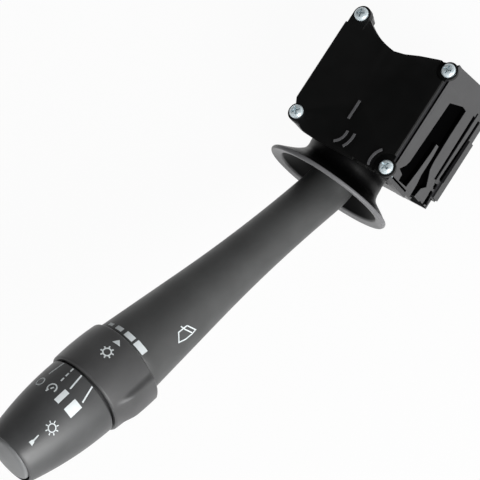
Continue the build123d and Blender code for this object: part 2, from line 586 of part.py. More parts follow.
# Spindle that carries the ring and the knob
tail = TAIL_RADIUS
spindle_points = [(2.4, plug_start + 0.05), (plug, plug_start + 0.05), (plug, LEVER_LENGTH)]
spindle_points += [(SPINDLE_RADIUS, LEVER_LENGTH), (SPINDLE_RADIUS, ring_end + 0.2), (tail, ring_end + 0.2)]
spindle_points += [(tail, spindle_end), (2.55, spindle_end), (2.55, wall_s), (7.2, wall_s), (7.2, board_s)]
spindle_points += [(6.0, board_s), (6.0, plug_start + 3), (2.4, plug_start + 3)]
spindle = turned(spindle_points)
spindle -= post(0, 0, clip_s, clip_s + 1, tail + 1) - post(0, 0, clip_s - 1, clip_s + 2, tail - 0.8)
for name, radius, start in (("ring_detent", SPINDLE_RADIUS, ring_leaf_s), ("knob_detent", tail, knob_leaf_s)):
    spindle -= sector(radius - 1, radius + 1, start, start + LEAF_LENGTH, 0, 60)
    leaf = sector(radius - 0.98, radius - 0.15, start + 0.1, start + LEAF_LENGTH - 0.1, 0, 58)
    one(name, stalk_place * leaf)
one("knob_carrier", stalk_place * spindle)

# Delay ring with a raised thumb grip on its outer side
cavity = SPINDLE_RADIUS + 1.6
ring_back = (RING_RADIUS - 0.5, ring_start + 0.5)
ring_front = (RING_RADIUS - 0.3, ring_end - 0.6)
ring_outline = Line((RING_RADIUS - 1.2, ring_start), ring_back)
ring_outline += ThreePointArc(ring_back, (RING_RADIUS, ring_start + RING_LENGTH * 0.55), ring_front)
ring_outline += Polyline(
    ring_front,
    (RING_RADIUS - 0.8, ring_end),
    (RING_RADIUS - SHELL, ring_end),
    (RING_RADIUS - SHELL, ring_start + 4),
    (cavity, ring_start + 4),
    (cavity, ring_end),
    (SPINDLE_RADIUS + RUNNING_GAP, ring_end),
    (SPINDLE_RADIUS + RUNNING_GAP, ring_start),
    (RING_RADIUS - 1.2, ring_start),
)
ring = lathe(ring_outline)
grip = [(RING_RADIUS - 1.5, ring_start + 0.3), (RING_RADIUS + GRIP_RISE - 0.6, ring_start + 0.3)]
grip += [(RING_RADIUS + GRIP_RISE, ring_start + 1.2), (RING_RADIUS + GRIP_RISE * 0.8, ring_start + 10)]
grip += [(RING_RADIUS + 0.1, ring_end - 1.2), (RING_RADIUS - 1.5, ring_end - 1.2)]
wedge = sector(RING_RADIUS - 1.4, RING_RADIUS + 5, ring_start, ring_end, GRIP_MIDDLE, GRIP_SPREAD)
ring += turned(grip) & wedge
one("delay_ring", stalk_place * ring)
leaf = sector(cavity, cavity + 0.5, ring_start + 6, ring_start + 14, 140, 60)
one("ring_contact", stalk_place * leaf)

# End knob: a hollow cup on a hub
fall = KNOB_RADIUS - TIP_RADIUS
lip = BUTTON_RADIUS + 0.25
skin_back = (KNOB_RADIUS - 0.3, knob_start + 0.5)
skin_middle = (KNOB_RADIUS - fall * 0.36, knob_start + KNOB_LENGTH * 0.55)
skin_front = (TIP_RADIUS, knob_start + KNOB_LENGTH * 0.97)
inside_back = (KNOB_RADIUS - SHELL - 0.4, knob_start + 2.4)
inside_middle = (KNOB_RADIUS - fall * 0.33 - SHELL, knob_start + KNOB_LENGTH * 0.5)
inside_front = (lip + 0.4, knob_end - 4.4)
knob_hub = tail + 2.2
hub_end = clip_s - 0.15
knob_outline = Line((KNOB_RADIUS - 0.9, knob_start), skin_back)
knob_outline += ThreePointArc(skin_back, skin_middle, skin_front)
knob_outline += Polyline(
    skin_front,
    (TIP_RADIUS - 0.5, knob_end),
    (lip, knob_end),
    (lip, knob_end - 3.6),
    inside_front,
)
knob_outline += ThreePointArc(inside_front, inside_middle, inside_back)
knob_outline += Polyline(
    inside_back,
    (knob_hub, knob_start + 2.4),
    (knob_hub, hub_end),
    (tail + RUNNING_GAP, hub_end),
    (tail + RUNNING_GAP, knob_start),
    (KNOB_RADIUS - 0.9, knob_start),
)
one("end_knob", stalk_place * lathe(knob_outline))
leaf = sector(knob_hub, knob_hub + 0.5, knob_start + 4, knob_start + 12, 140, 70)
one("knob_contact", stalk_place * leaf)
clip = post(0, 0, clip_s + 0.05, clip_s + 0.95, tail + 1.5) - post(0, 0, clip_s, clip_s + 1, tail - 0.78)
clip -= block(0, tail + 5, -3, 3, clip_s - 1, clip_s + 2)
one("knob_retainer", stalk_place * clip)

# Switch under the button
tip_board = post(0, 0, board_s, board_s + 1.2, 7.0)
one("tip_board", stalk_place * tip_board)
switch_top = board_s + 3.2
switch = block(-3, 3, -3, 3, board_s + 1.2, switch_top)
switch += post(0, 0, switch_top - 0.1, switch_top + 0.25, 1.3)
one("button_switch", stalk_place * switch)

# Push button with its stem and return spring
stem_end = switch_top + 0.4 + BUTTON_TRAVEL
face_s = knob_end + 1.4
skirt_end = spindle_end + BUTTON_TRAVEL + 0.4
under_face = face_s - 2.6
stem = 2.5
dome_edge = (BUTTON_RADIUS - 1.2, face_s - BUTTON_DOME)
round_end = (BUTTON_RADIUS, face_s - BUTTON_DOME - 1.5)
button_outline = ThreePointArc((0, face_s), (dome_edge[0] * 0.6, face_s - BUTTON_DOME * 0.36), dome_edge)
button_outline += ThreePointArc(dome_edge, (BUTTON_RADIUS - 0.35, face_s - BUTTON_DOME - 0.5), round_end)
button_outline += Polyline(
    round_end,
    (BUTTON_RADIUS, skirt_end),
    (BUTTON_RADIUS - 1.4, skirt_end),
    (BUTTON_RADIUS - 1.4, under_face),
    (stem, under_face),
    (stem, wall_s - 0.1),
    (stem + 0.6, wall_s - 0.1),
    (stem + 0.6, wall_s - 1.2),
    (stem, wall_s - 1.8),
    (stem, stem_end),
    (0, stem_end),
    (0, face_s),
)
one("end_button", stalk_place * lathe(button_outline))
coil = Pos(0, 0, spindle_end) * spring(4.4, 0.56, under_face - spindle_end, 4)
one("button_spring", stalk_place * coil)
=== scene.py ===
from math import atan, ceil, cos, hypot, pi, radians, sin, sqrt, tan

import bmesh
import bpy
from mathutils import Matrix, Vector

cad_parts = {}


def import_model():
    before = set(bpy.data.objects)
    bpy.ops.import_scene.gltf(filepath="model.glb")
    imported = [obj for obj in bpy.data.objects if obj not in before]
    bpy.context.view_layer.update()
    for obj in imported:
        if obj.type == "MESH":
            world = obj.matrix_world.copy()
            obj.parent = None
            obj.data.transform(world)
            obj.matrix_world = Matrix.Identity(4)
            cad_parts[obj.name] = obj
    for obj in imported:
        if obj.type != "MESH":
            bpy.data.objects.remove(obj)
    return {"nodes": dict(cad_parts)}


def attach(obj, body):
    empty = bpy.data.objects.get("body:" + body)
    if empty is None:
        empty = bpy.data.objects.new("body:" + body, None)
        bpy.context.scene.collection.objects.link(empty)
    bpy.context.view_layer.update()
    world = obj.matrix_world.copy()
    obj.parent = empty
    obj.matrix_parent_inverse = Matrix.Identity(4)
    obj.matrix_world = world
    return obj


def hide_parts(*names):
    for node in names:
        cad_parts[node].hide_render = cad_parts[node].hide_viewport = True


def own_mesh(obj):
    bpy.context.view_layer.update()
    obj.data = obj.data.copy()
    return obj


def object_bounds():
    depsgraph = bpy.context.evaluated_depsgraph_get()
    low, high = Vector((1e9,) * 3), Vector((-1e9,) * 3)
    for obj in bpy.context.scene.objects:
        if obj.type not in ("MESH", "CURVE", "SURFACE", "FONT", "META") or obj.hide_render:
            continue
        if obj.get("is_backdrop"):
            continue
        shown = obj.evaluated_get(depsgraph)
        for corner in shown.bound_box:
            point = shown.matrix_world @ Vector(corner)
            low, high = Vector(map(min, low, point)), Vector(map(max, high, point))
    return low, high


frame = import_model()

cad_low, cad_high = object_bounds()
nodes = frame["nodes"]
MM = 0.001

# Camera in the part's frame, in metres
CAMERA_AT = Vector((0.12384, 0.38582, 0.72301))
CAMERA_RIGHT = Vector((-0.5422, 0.75022, -0.3784))
CAMERA_UP = Vector((-0.8353, -0.43246, 0.33947))
CAMERA_LENS = 165.0
SENSOR = 36.0

# The lever's own frame and sizes, in millimetres, as in the frame model
PIVOT_HEIGHT = 23.0
REST_TURN = -3.8
ROOT_RAISE = 3.0
STALK_RAISE = 25.0
ELBOW_REACH = 16.7
BALL_RADIUS = 16.0
BALL_WALL = 1.6
FLANGE_RADIUS = 25.4
BELL_TURN = 2.2
BELL_SWAY = (-0.35, -0.6)
LIFT_LIMIT = 16.0
PULL_LIMIT = 7.0
NECK_RADIUS = 8.8
LEVER_RADIUS = 14.4
LEVER_LENGTH = 104.0
LEVER_WALL = 1.9
ROOT_STRAIGHT = 12.6
TAPER_SHARE = 1.43
SPIGOT_RADIUS = 6.4
RING_RADIUS = 16.3
RING_LENGTH = 19.3
RING_START = LEVER_LENGTH + 0.25
RING_END = RING_START + RING_LENGTH
GRIP_RISE = 1.7
GRIP_MIDDLE = -93.0
GRIP_SPREAD = 50.0
BUTTON_RADIUS = 9.6
BUTTON_TRAVEL = 2.0
SPINDLE_RADIUS = 11.0
TAIL_RADIUS = 9.0
KNOB_RADIUS = 15.4
KNOB_LENGTH = 34.2
KNOB_START = RING_END + 0.5
KNOB_END = KNOB_START + KNOB_LENGTH
SPINDLE_END = KNOB_END - 7.2
TIP_RADIUS = 10.9
SHELL = 2.0
RUNNING_GAP = 0.05
FIT_GAP = 0.02
JOURNAL = 3.0
SEGMENTS = 180
SMOOTH_ANGLE = 28.0
WELD_REACH = 1e-7


def heading(raise_angle):
    """Direction at the lever's rest turn and the given raise."""
    flat = cos(radians(raise_angle))
    turn = radians(REST_TURN)
    return Vector((flat * cos(turn), flat * sin(turn), sin(radians(raise_angle))))


def axis_frame(origin, raise_angle):
    """Frame whose Z runs along the given raise and whose X points up from it."""
    z = heading(raise_angle)
    x = heading(raise_angle + 90)
    made = Matrix((x, z.cross(x), z)).transposed().to_4x4()
    made.translation = origin
    return made


PIVOT = Vector((0, 0, PIVOT_HEIGHT))
ELBOW = PIVOT + heading(ROOT_RAISE) * ELBOW_REACH
ROOT_FRAME = axis_frame(PIVOT, ROOT_RAISE)
STALK_FRAME = axis_frame(ELBOW, STALK_RAISE)


# Shader building

def new_material(name):
    """Empty node material with its shader, as (material, tree, shader)."""
    made = bpy.data.materials.new(name)
    made.use_nodes = True
    tree = made.node_tree
    return made, tree, tree.nodes["Principled BSDF"]


def noise(tree, scale, detail=3.0, rough=0.55):
    """Noise value in the object's own space."""
    place = tree.nodes.new("ShaderNodeTexCoord")
    made = tree.nodes.new("ShaderNodeTexNoise")
    made.inputs["Scale"].default_value = scale
    made.inputs["Detail"].default_value = detail
    made.inputs["Roughness"].default_value = rough
    tree.links.new(place.outputs["Object"], made.inputs["Vector"])
    return made.outputs["Fac"]


def ramp(tree, value, stops):
    """Colour ramp over a value: stops are (place, colour)."""
    made = tree.nodes.new("ShaderNodeValToRGB")
    points = made.color_ramp.elements
    for n, (place, colour) in enumerate(stops):
        point = points[n] if n < 2 else points.new(place)
        point.position = place
        point.color = (*colour, 1)
    tree.links.new(value, made.inputs["Fac"])
    return made.outputs["Color"]


def spread(tree, value, low, high):
    """A 0 to 1 value mapped to a range."""
    made = tree.nodes.new("ShaderNodeMapRange")
    made.inputs["From Min"].default_value = 0.3
    made.inputs["From Max"].default_value = 0.7
    made.inputs["To Min"].default_value = low
    made.inputs["To Max"].default_value = high
    tree.links.new(value, made.inputs["Value"])
    return made.outputs["Result"]


def bump(tree, height, strength, distance, under=None):
    """Bump from a height value, on top of another bump if given."""
    made = tree.nodes.new("ShaderNodeBump")
    made.inputs["Strength"].default_value = strength
    made.inputs["Distance"].default_value = distance
    tree.links.new(height, made.inputs["Height"])
    if under is not None:
        tree.links.new(under, made.inputs["Normal"])
    return made.outputs["Normal"]


def plastic(name, colour, rough, grain, depth, worn=0.15, level=0.5):
    """Moulded plastic: faint clouding, a fine grain, and lighter rubbed edges."""
    made, tree, shader = new_material(name)
    dark = [c * 0.86 for c in colour]
    light = [c * 1.14 for c in colour]
    cloud = ramp(tree, noise(tree, 60, 4), [(0.35, dark), (0.65, light)])
    edge = tree.nodes.new("ShaderNodeNewGeometry")
    rub = tree.nodes.new("ShaderNodeMapRange")
    rub.inputs["From Min"].default_value = 0.56
    rub.inputs["From Max"].default_value = 0.72
    rub.inputs["To Max"].default_value = worn
    tree.links.new(edge.outputs["Pointiness"], rub.inputs["Value"])
    mix = tree.nodes.new("ShaderNodeMix")
    mix.data_type = "RGBA"
    mix.inputs["B"].default_value = (*[min(c * 2.2 + 0.03, 1) for c in colour], 1)
    tree.links.new(rub.outputs["Result"], mix.inputs["Factor"])
    tree.links.new(cloud, mix.inputs["A"])
    tree.links.new(mix.outputs["Result"], shader.inputs["Base Color"])
    gloss = spread(tree, noise(tree, 140, 3), rough - 0.04, rough + 0.04)
    tree.links.new(gloss, shader.inputs["Roughness"])
    shader.inputs["Specular IOR Level"].default_value = level
    fine = bump(tree, noise(tree, grain, 2), depth, 0.00006)
    wave = bump(tree, noise(tree, 55, 2), 0.05, 0.0004, fine)
    tree.links.new(wave, shader.inputs["Normal"])
    return made


def retone(made, value, tone, level=None):
    """Mix another tone, and another gloss if given, into a plastic where a value nears 1."""
    tree = made.node_tree
    shader = tree.nodes["Principled BSDF"]
    share = tree.nodes.new("ShaderNodeMapRange")
    share.inputs["From Min"].default_value = 0.2
    share.inputs["From Max"].default_value = 0.8
    tree.links.new(value, share.inputs["Value"])
    under = shader.inputs["Base Color"].links[0].from_socket
    mix = tree.nodes.new("ShaderNodeMix")
    mix.data_type = "RGBA"
    mix.inputs["B"].default_value = (*tone, 1)
    tree.links.new(share.outputs["Result"], mix.inputs["Factor"])
    tree.links.new(under, mix.inputs["A"])
    tree.links.new(mix.outputs["Result"], shader.inputs["Base Color"])
    if level is None:
        return
    for socket, target in (("Specular IOR Level", level), ("IOR", 1.0 + level)):
        blend = tree.nodes.new("ShaderNodeMapRange")
        blend.inputs["To Min"].default_value = shader.inputs[socket].default_value
        blend.inputs["To Max"].default_value = target
        tree.links.new(share.outputs["Result"], blend.inputs["Value"])
        tree.links.new(blend.outputs["Result"], shader.inputs[socket])


def object_place(tree):
    """Place in the object's own space, which is the part's frame."""
    return tree.nodes.new("ShaderNodeTexCoord").outputs["Object"]


def within(tree, value, low, high, fade):
    """1 inside a range of a value and 0 outside, with soft ends."""
    shares = []
    for start, end in ((low - fade, low + fade), (high + fade, high - fade)):
        share = tree.nodes.new("ShaderNodeMapRange")
        share.inputs["From Min"].default_value = start * MM
        share.inputs["From Max"].default_value = end * MM
        tree.links.new(value, share.inputs["Value"])
        shares.append(share.outputs["Result"])
    return times(tree, shares)


def times(tree, shares):
    """Product of several values."""
    result = shares[0]
    for share in shares[1:]:
        step = tree.nodes.new("ShaderNodeMath")
        step.operation = "MULTIPLY"
        tree.links.new(result, step.inputs[0])
        tree.links.new(share, step.inputs[1])
        result = step.outputs[0]
    return result


def in_box(made, low, high, fade=0.15):
    """1 inside a box of the part's frame, in millimetres."""
    tree = made.node_tree
    split = tree.nodes.new("ShaderNodeSeparateXYZ")
    tree.links.new(object_place(tree), split.inputs["Vector"])
    return times(tree, [within(tree, split.outputs[n], low[n], high[n], fade) for n in range(3)])


def on_axis(made, point, along):
    """Distance from an axis and height along it, as two values."""
    tree = made.node_tree
    away = tree.nodes.new("ShaderNodeVectorMath")
    away.operation = "SUBTRACT"
    away.inputs[1].default_value = point * MM
    tree.links.new(object_place(tree), away.inputs[0])
    cross = tree.nodes.new("ShaderNodeVectorMath")
    cross.operation = "CROSS_PRODUCT"
    cross.inputs[1].default_value = along
    tree.links.new(away.outputs["Vector"], cross.inputs[0])
    length = tree.nodes.new("ShaderNodeVectorMath")
    length.operation = "LENGTH"
    tree.links.new(cross.outputs["Vector"], length.inputs[0])
    dot = tree.nodes.new("ShaderNodeVectorMath")
    dot.operation = "DOT_PRODUCT"
    dot.inputs[1].default_value = along
    tree.links.new(away.outputs["Vector"], dot.inputs[0])
    return length.outputs["Value"], dot.outputs["Value"]


def metal(name, colour, rough, grain=900, depth=0.12, metallic=1.0):
    """Plated or spring metal with a faint mottled tarnish."""
    made, tree, shader = new_material(name)
    shader.inputs["Metallic"].default_value = metallic
    dark = [c * 0.8 for c in colour]
    tone = ramp(tree, noise(tree, 320, 4), [(0.35, dark), (0.6, colour)])
    tree.links.new(tone, shader.inputs["Base Color"])
    gloss = spread(tree, noise(tree, 500, 3), rough - 0.05, rough + 0.08)
    tree.links.new(gloss, shader.inputs["Roughness"])
    tree.links.new(bump(tree, noise(tree, grain, 2), depth, 0.00004), shader.inputs["Normal"])
    return made


def laminate(name):
    """Circuit board: green solder mask over a faint weave."""
    made, tree, shader = new_material(name)
    tone = ramp(tree, noise(tree, 250, 3), [(0.35, (0.008, 0.075, 0.03)), (0.65, (0.014, 0.11, 0.045))])
    tree.links.new(tone, shader.inputs["Base Color"])
    place = tree.nodes.new("ShaderNodeTexCoord")
    weave = tree.nodes.new("ShaderNodeTexChecker")
    weave.inputs["Scale"].default_value = 1600
    tree.links.new(place.outputs["Object"], weave.inputs["Vector"])
    tree.links.new(bump(tree, weave.outputs["Fac"], 0.1, 0.00005), shader.inputs["Normal"])
    shader.inputs["Roughness"].default_value = 0.3
    return made


MATERIALS = {
    "cover": plastic("cover_plastic", (0.0017, 0.0018, 0.0018), 0.42, 1500, 0.12, 0.3, 0.26),
    "case": plastic("case_plastic", (0.019, 0.019, 0.0205), 0.34, 1500, 0.14, 0.2, 0.6),
    "rear": plastic("rear_plastic", (0.018, 0.018, 0.0195), 0.36, 1500, 0.14, 0.2, 0.6),
    "bell": plastic("bell_plastic", (0.0016, 0.0016, 0.0017), 0.36, 1300, 0.12, 0.2, 0.2),
    "lever": plastic("lever_plastic", (0.046, 0.047, 0.047), 0.46, 2600, 0.35),
    "ring": plastic("ring_plastic", (0.055, 0.055, 0.056), 0.40, 2600, 0.3, 0.3),
    "knob": plastic("knob_plastic", (0.050, 0.051, 0.052), 0.42, 2600, 0.3, 0.3),
    "button": plastic("button_plastic", (0.16, 0.164, 0.167), 0.42, 2400, 0.3),
    "white": plastic("white_plastic", (0.62, 0.61, 0.57), 0.4, 1200, 0.15, 0.0),
    "carrier": plastic("carrier_plastic", (0.02, 0.02, 0.02), 0.42, 1500, 0.2),
    "socket": plastic("socket_plastic", (0.012, 0.012, 0.013), 0.36, 1500, 0.14),
    "wire": plastic("wire_sheath", (0.03, 0.03, 0.033), 0.45, 900, 0.3, 0.0),
    "print": plastic("print_ink", (0.60, 0.64, 0.65), 0.5, 1800, 0.2, 0.0),
    "zinc": metal("zinc", (0.74, 0.84, 0.88), 0.3, metallic=0.45),
    "steel": metal("spring_steel", (0.55, 0.54, 0.52), 0.3),
    "brass": metal("brass", (0.83, 0.62, 0.30), 0.28),
    "board": laminate("board_laminate"),
}

FINISH = {
    "housing_case": "case", "rear_cover": "rear", "front_cover": "cover",
    "cover_screws": "zinc", "circuit_board": "board", "contact_tracks": "brass",
    "board_screws": "zinc", "connector_shroud": "socket", "terminal_pins": "brass",
    "detent_plate": "white", "yoke": "carrier", "pivot_pin": "steel",
    "detent_plunger": "white", "detent_spring": "steel", "contact_carrier": "white",
    "contact_blades": "brass", "pull_spring": "steel", "lever_core": "carrier",
    "shroud_bell": "bell", "lever_body": "lever", "wire_bundle": "wire",
    "knob_carrier": "carrier", "ring_detent": "steel", "knob_detent": "steel",
    "knob_retainer": "steel", "tip_board": "board", "button_switch": "carrier",
    "button_spring": "steel", "delay_ring": "ring", "ring_contact": "brass",
    "end_knob": "knob", "knob_contact": "brass", "end_button": "button",
}


def smooth_by_angle(obj):
    """Modifiers that weld, shade smooth and keep the sharp edges."""
    group = bpy.data.node_groups.get("smooth_by_angle")
    if group is None:
        group = bpy.data.node_groups.new("smooth_by_angle", "GeometryNodeTree")
        group.interface.new_socket("Geometry", in_out="INPUT", socket_type="NodeSocketGeometry")
        group.interface.new_socket("Geometry", in_out="OUTPUT", socket_type="NodeSocketGeometry")
        make = group.nodes.new
        source, result = make("NodeGroupInput"), make("NodeGroupOutput")
        faces, edges = make("GeometryNodeSetShadeSmooth"), make("GeometryNodeSetShadeSmooth")
        edges.domain = "EDGE"
        turn, limit = make("GeometryNodeInputMeshEdgeAngle"), make("FunctionNodeCompare")
        limit.operation = "LESS_EQUAL"
        limit.inputs["B"].default_value = radians(SMOOTH_ANGLE)
        link = group.links.new
        link(source.outputs[0], faces.inputs["Geometry"])
        link(faces.outputs[0], edges.inputs["Geometry"])
        link(turn.outputs["Unsigned Angle"], limit.inputs["A"])
        link(limit.outputs["Result"], edges.inputs["Shade Smooth"])
        link(edges.outputs[0], result.inputs[0])
    weld = obj.modifiers.new("weld", "WELD")
    weld.merge_threshold = WELD_REACH
    obj.modifiers.new("smooth", "NODES").node_group = group


def paint(obj, material):
    """Give an object one material."""
    obj.data.materials.clear()
    obj.data.materials.append(material)


# The cover's slotted side is paler; the cover's ridge tops carry a painted highlight; the groove, the slits
# and the gaps carry painted shade, darker and duller
ZONES = [
    ("cover", (-34.5, 26.3, 40), (0.6, 30, 44.55), 0.05, (0.019, 0.019, 0.0205), 0.6),
    # Painted shade: the case's groove and slits, darker and duller
    ("case", (-38, 19, 8), (5.6, 27.0, 44), 0.1, (0.001, 0.001, 0.0011), 0.04),
    # Painted shade: the rear tray's gaps and slits, darker and duller
    ("rear", (-38, 19, 1), (5.6, 26.5, 9), 0.1, (0.001, 0.001, 0.0011), 0.04),
    # Painted highlight: the cover's ridge tops, lighter and glossier
    ("cover", (-60, -60, 45.3), (60, 60, 60), 0.15, (0.10, 0.10, 0.105), 0.6),
]
for finish, low, high, fade, tone, level in ZONES:
    retone(MATERIALS[finish], in_box(MATERIALS[finish], low, high, fade), tone, level)

# Painted shade makes the bell's dish darker and duller, and a painted highlight makes its rim lighter
bell_tree = MATERIALS["bell"].node_tree
bell_axis = Matrix.Rotation(radians(BELL_TURN), 3, "Z") @ heading(ROOT_RAISE)
bell_out, bell_up = on_axis(MATERIALS["bell"], PIVOT + heading(ROOT_RAISE) * 16, bell_axis)
slope = bell_tree.nodes.new("ShaderNodeMath")
slope.operation = "MULTIPLY_ADD"
slope.inputs[1].default_value = -0.75
bell_tree.links.new(bell_out, slope.inputs[0])
bell_tree.links.new(bell_up, slope.inputs[2])
dish_shade = [within(bell_tree, bell_out, 9, 20.8, 0.3), within(bell_tree, slope.outputs[0], -17, 5, 0.3)]
rim = [within(bell_tree, bell_out, 21.0, 30, 0.4), within(bell_tree, bell_up, 0.3, 3, 0.25)]
# Painted shade: the dish, darker and duller
retone(MATERIALS["bell"], times(bell_tree, dish_shade), (0.003, 0.003, 0.0032), 0.18)
# Painted highlight: the rim, lighter
retone(MATERIALS["bell"], times(bell_tree, rim), (0.14, 0.14, 0.145))

for node, finish in FINISH.items():
    paint(nodes[node], MATERIALS[finish])
    smooth_by_angle(nodes[node])


# Mesh building

def add_object(name, mesh_data, material, body, replaced=()):
    """Link a mesh as a piece that rides on a body."""
    obj = bpy.data.objects.new(name, mesh_data)
    bpy.context.scene.collection.objects.link(obj)
    paint(obj, MATERIALS[material])
    for node in replaced:
        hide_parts(node)
    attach(obj, body)
    return obj


def finish_mesh(made, name, sharp=32):
    """Turn a bmesh into a mesh with smooth faces and sharp corners."""
    bmesh.ops.recalc_face_normals(made, faces=made.faces)
    for face in made.faces:
        face.smooth = True
    for edge in made.edges:
        if len(edge.link_faces) == 2 and edge.calc_face_angle(0) > radians(sharp):
            edge.smooth = False
    mesh = bpy.data.meshes.new(name)
    made.to_mesh(mesh)
    made.free()
    return mesh


def skin(rings, closed=True):
    """Quads between rings of points; a ring of one point closes to a pole."""
    made = bmesh.new()
    rows = [[made.verts.new(p * MM) for p in ring] for ring in rings]
    pairs = list(zip(rows, rows[1:]))
    if closed:
        pairs.append((rows[-1], rows[0]))
    for a, b in pairs:
        count = max(len(a), len(b))
        for n in range(count):
            m = (n + 1) % count
            corners = [a[n % len(a)], a[m % len(a)], b[m % len(b)], b[n % len(b)]]
            corners = list(dict.fromkeys(corners))
            if len(corners) > 2:
                made.faces.new(corners)
    return made


def through(start, middle, end, count):
    """Points on the circle through three (radius, height) points."""
    (ax, ay), (bx, by), (cx, cy) = start, middle, end
    d = 2 * (ax * (by - cy) + bx * (cy - ay) + cx * (ay - by))
    a2, b2, c2 = ax * ax + ay * ay, bx * bx + by * by, cx * cx + cy * cy
    ox = (a2 * (by - cy) + b2 * (cy - ay) + c2 * (ay - by)) / d
    oy = (a2 * (cx - bx) + b2 * (ax - cx) + c2 * (bx - ax)) / d
    centre = Vector((ox, oy))
    first, half, last = [Vector(p) - centre for p in (start, middle, end)]
    whole = first.angle_signed(half) + half.angle_signed(last)
    made = []
    for n in range(count + 1):
        turn = -whole * n / count
        x = first.x * cos(turn) - first.y * sin(turn)
        y = first.x * sin(turn) + first.y * cos(turn)
        made.append((ox + x, oy + y))
    return made


def flow(points, steps):
    """Smooth curve through (radius, height) points, with some steps between each two."""

    def blend(p, q, r, s, t):
        square = (2 * p - 5 * q + 4 * r - s) * t * t
        return 0.5 * (2 * q + (r - p) * t + square + (3 * q - p - 3 * r + s) * t ** 3)

    ends = [points[0], *points, points[-1]]
    made = [points[0]]
    for a, b, c, d in zip(ends, ends[1:], ends[2:], ends[3:]):
        for n in range(1, steps + 1):
            made.append(tuple(blend(*row, n / steps) for row in zip(a, b, c, d)))
    return made


def softened(points, radius, steps=3, closed=True):
    """The outline with its sharp corners rounded to about the radius."""
    made = []
    count = len(points)
    for n, p in enumerate(points):
        here = Vector(p)
        if not closed and n in (0, count - 1):
            made.append(p)
            continue
        back = Vector(points[n - 1]) - here
        ahead = Vector(points[(n + 1) % count]) - here
        if p[0] < 1e-6 or back.angle(ahead) > radians(150):
            made.append(p)
            continue
        reach = min(radius, back.length * 0.45, ahead.length * 0.45)
        a, b = here + back.normalized() * reach, here + ahead.normalized() * reach
        for k in range(steps + 1):
            t = k / steps
            q = a * (1 - t) ** 2 + here * 2 * t * (1 - t) + b * t * t
            made.append((q.x, q.y))
    return made


def turned_rings(outline, place, swell=None, lean=None):
    """Rings of a revolved outline, with an optional extra radius by (angle, radius, height)."""
    rings = []
    for r, h in outline:
        at = place @ lean(h) if lean else place @ Matrix.Translation((0, 0, h))
        if r < 1e-6:
            rings.append([at @ Vector((0, 0, 0))])
            continue
        ring = []
        for n in range(SEGMENTS):
            angle = 2 * pi * n / SEGMENTS
            grown = r + (swell(angle, r, h) if swell else 0)
            ring.append(at @ Vector((grown * cos(angle), grown * sin(angle), 0)))
        rings.append(ring)
    return rings


def ease(value):
    """Smooth step from 0 to 1."""
    value = min(max(value, 0), 1)
    return value * value * (3 - 2 * value)


# Lever tube: straight root, smooth elbow, arc and cone
taper_reach = LEVER_LENGTH - ROOT_STRAIGHT
taper_rise = LEVER_RADIUS - NECK_RADIUS
taper_angle = atan(TAPER_SHARE * taper_rise / taper_reach)
arc_rise = taper_reach * tan(taper_angle) - taper_rise
arc_radius = arc_rise / (tan(taper_angle) * sin(taper_angle) - 1 + cos(taper_angle))


def lever_radius(station):
    """Outer radius of the lever at a distance from the elbow."""
    run = max(station - ROOT_STRAIGHT, 0)
    if run < arc_radius * sin(taper_angle):
        return NECK_RADIUS + arc_radius - sqrt(arc_radius ** 2 - run ** 2)
    return LEVER_RADIUS - (LEVER_LENGTH - station) * tan(taper_angle)


BEND_REACH = 4.0


def lever_station(s):
    """Frame on the lever's centre line at s from the elbow, rounding the bend."""
    if s >= BEND_REACH:
        return axis_frame(ELBOW + heading(STALK_RAISE) * s, STALK_RAISE)
    if s <= -BEND_REACH:
        return axis_frame(ELBOW + heading(ROOT_RAISE) * s, ROOT_RAISE)
    t = (s + BEND_REACH) / (2 * BEND_REACH)
    a = ELBOW - heading(ROOT_RAISE) * BEND_REACH
    b = ELBOW + heading(STALK_RAISE) * BEND_REACH
    centre = a * (1 - t) ** 2 + ELBOW * 2 * t * (1 - t) + b * t * t
    return axis_frame(centre, ROOT_RAISE + (STALK_RAISE - ROOT_RAISE) * t)


def tube_ring(s, radius):
    """Ring of points round the lever's centre line."""
    place = lever_station(s)
    angles = [2 * pi * n / SEGMENTS for n in range(SEGMENTS)]
    return [place @ Vector((radius * cos(a), radius * sin(a), 0)) for a in angles]


def lever_body():
    """Hollow lever with its bend, as one closed skin."""
    bore = SPIGOT_RADIUS + FIT_GAP
    plug = LEVER_RADIUS - 2.0 + FIT_GAP
    root = 7.6 - ELBOW_REACH
    stations = [root, -7, -4, -3, -2, -1, 0, 1, 2, 3, 4, 8, ROOT_STRAIGHT]
    stations += [ROOT_STRAIGHT + 4 * n for n in range(1, 22)]
    stations += [LEVER_LENGTH - 3]
    outer = [tube_ring(s, NECK_RADIUS + 0.15 if s < -4 else lever_radius(s)) for s in stations]
    lip = [(0.25, 0.0), (0.07, 0.07), (0.0, 0.25)]
    end = [tube_ring(LEVER_LENGTH - a, LEVER_RADIUS - b) for a, b in lip]
    end += [tube_ring(LEVER_LENGTH, plug + 0.2), tube_ring(LEVER_LENGTH - 0.2, plug)]
    end += [tube_ring(LEVER_LENGTH - 15, plug), tube_ring(LEVER_LENGTH - 15, plug - 1.2)]
    inner = []
    for s in stations[-2:1:-1]:
        if s < LEVER_LENGTH - 17:
            inner.append(tube_ring(s, max(bore, lever_radius(s) - LEVER_WALL)))
    inner.append(tube_ring(root, bore))
    return finish_mesh(skin(outer + end + inner), "lever_skin")


add_object("lever_tube", lever_body(), "lever", "lever", ["lever_body"])


# Bell shroud with its ball neck
def on_ball(radius, angle):
    """Point of the ball's outline at an angle from the root axis."""
    return (radius * sin(radians(angle)), radius * cos(radians(angle)))


